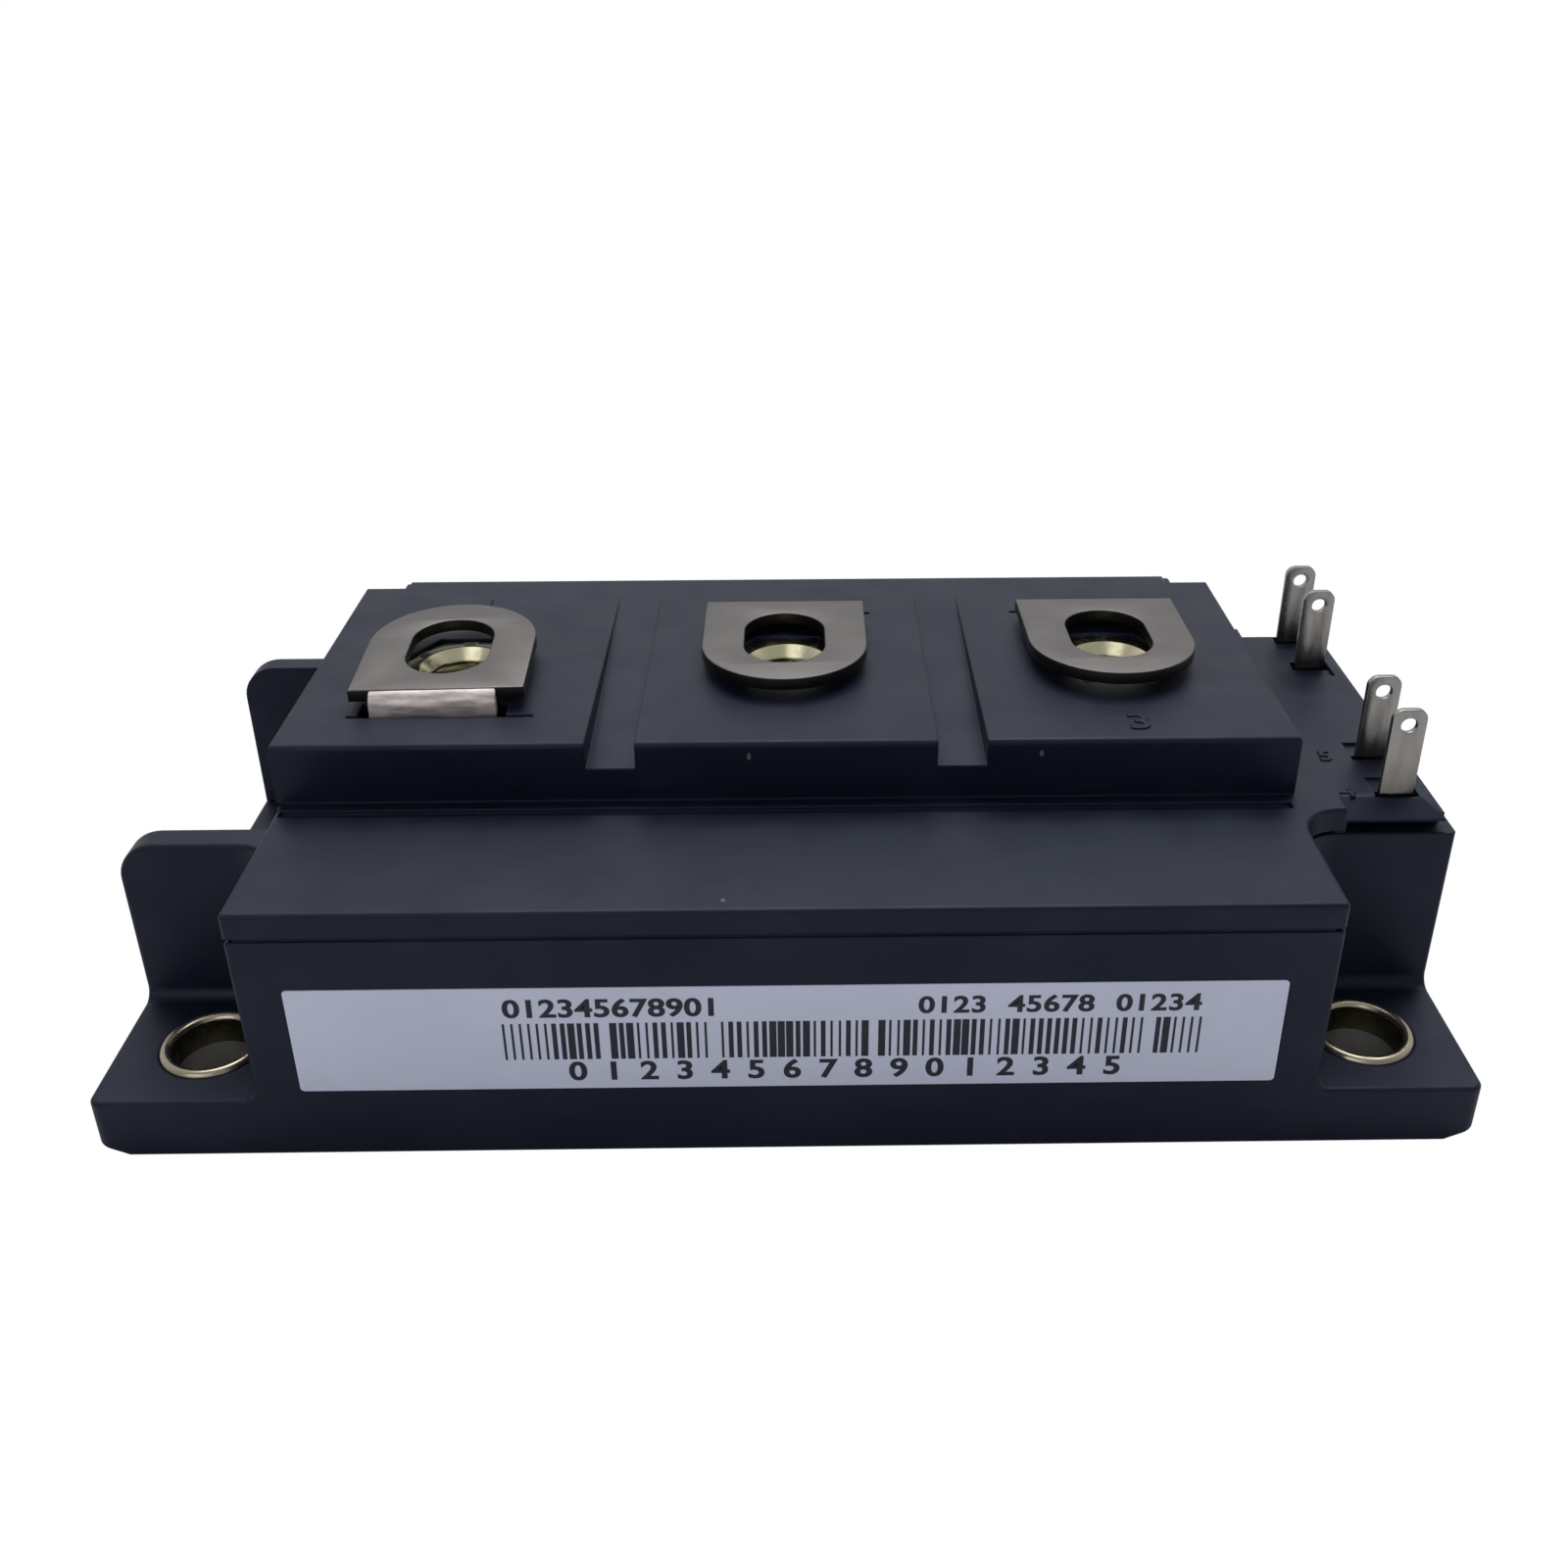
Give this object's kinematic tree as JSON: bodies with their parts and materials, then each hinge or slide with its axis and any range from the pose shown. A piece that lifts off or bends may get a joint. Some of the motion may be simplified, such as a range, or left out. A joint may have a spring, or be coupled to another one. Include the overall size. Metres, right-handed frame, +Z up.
{
  "type": "half-bridge power transistor module",
  "caption": "Half-bridge power module: moulded case on a metal base plate with corner mounting holes, a stepped cover with screw terminals over captive nuts, and flat control tabs.",
  "frame": {"origin": "middle of the base plate's underside, the face that is bolted to a heat sink", "axes": "+X along the length towards the flat control tabs, -Y towards the label, +Z up out of the screw terminals"},
  "size_m": [0.108, 0.0621, 0.0301],
  "materials": {
    "base_nickel": "satin nickel plate over copper",
    "case_plastic": "moulded, fine satin grain",
    "cover_plastic": "moulded, fine satin grain",
    "label_film": "matt sticker",
    "terminal_nickel": "satin nickel plate, tarnished",
    "nut_brass": "dull",
    "bush_brass": "dull",
    "tab_tinned": "tinned, satin",
    "soft_gel": "clear soft silicone",
    "link_copper": "bare copper",
    "solder_grey": "dull solder",
    "track_copper": "bare copper",
    "white_ceramic": "unglazed alumina",
    "bond_aluminium": "drawn wire",
    "silicon": "polished silicon"
  },
  "bodies": {
    "root": {"base_plate": "base_nickel", "case_frame": "case_plastic", "top_cover": "cover_plastic", "label": "label_film", "silicone_filling": "soft_gel", "substrate_link": "link_copper", "terminal_left": "terminal_nickel", "terminal_nut_left": "nut_brass", "terminal_middle": "terminal_nickel", "terminal_nut_middle": "nut_brass", "terminal_right": "terminal_nickel", "terminal_nut_right": "nut_brass", "mounting_bush_1": "bush_brass", "mounting_bush_2": "bush_brass", "mounting_bush_3": "bush_brass", "mounting_bush_4": "bush_brass", "tab_front_outer": "tab_tinned", "tab_front_inner": "tab_tinned", "tab_rear_inner": "tab_tinned", "tab_rear_outer": "tab_tinned", "solder_left": "solder_grey", "substrate_copper_left": "track_copper", "substrate_left": "white_ceramic", "tracks_left": "track_copper", "emitter_wires_left": "bond_aluminium", "gate_wires_left": "bond_aluminium", "transistor_chip_left_1": "silicon", "diode_chip_left_1": "silicon", "transistor_chip_left_2": "silicon", "diode_chip_left_2": "silicon", "solder_right": "solder_grey", "substrate_copper_right": "track_copper", "substrate_right": "white_ceramic", "tracks_right": "track_copper", "emitter_wires_right": "bond_aluminium", "gate_wires_right": "bond_aluminium", "transistor_chip_right_1": "silicon", "diode_chip_right_1": "silicon", "transistor_chip_right_2": "silicon", "diode_chip_right_2": "silicon"}
  },
  "joints": []
}
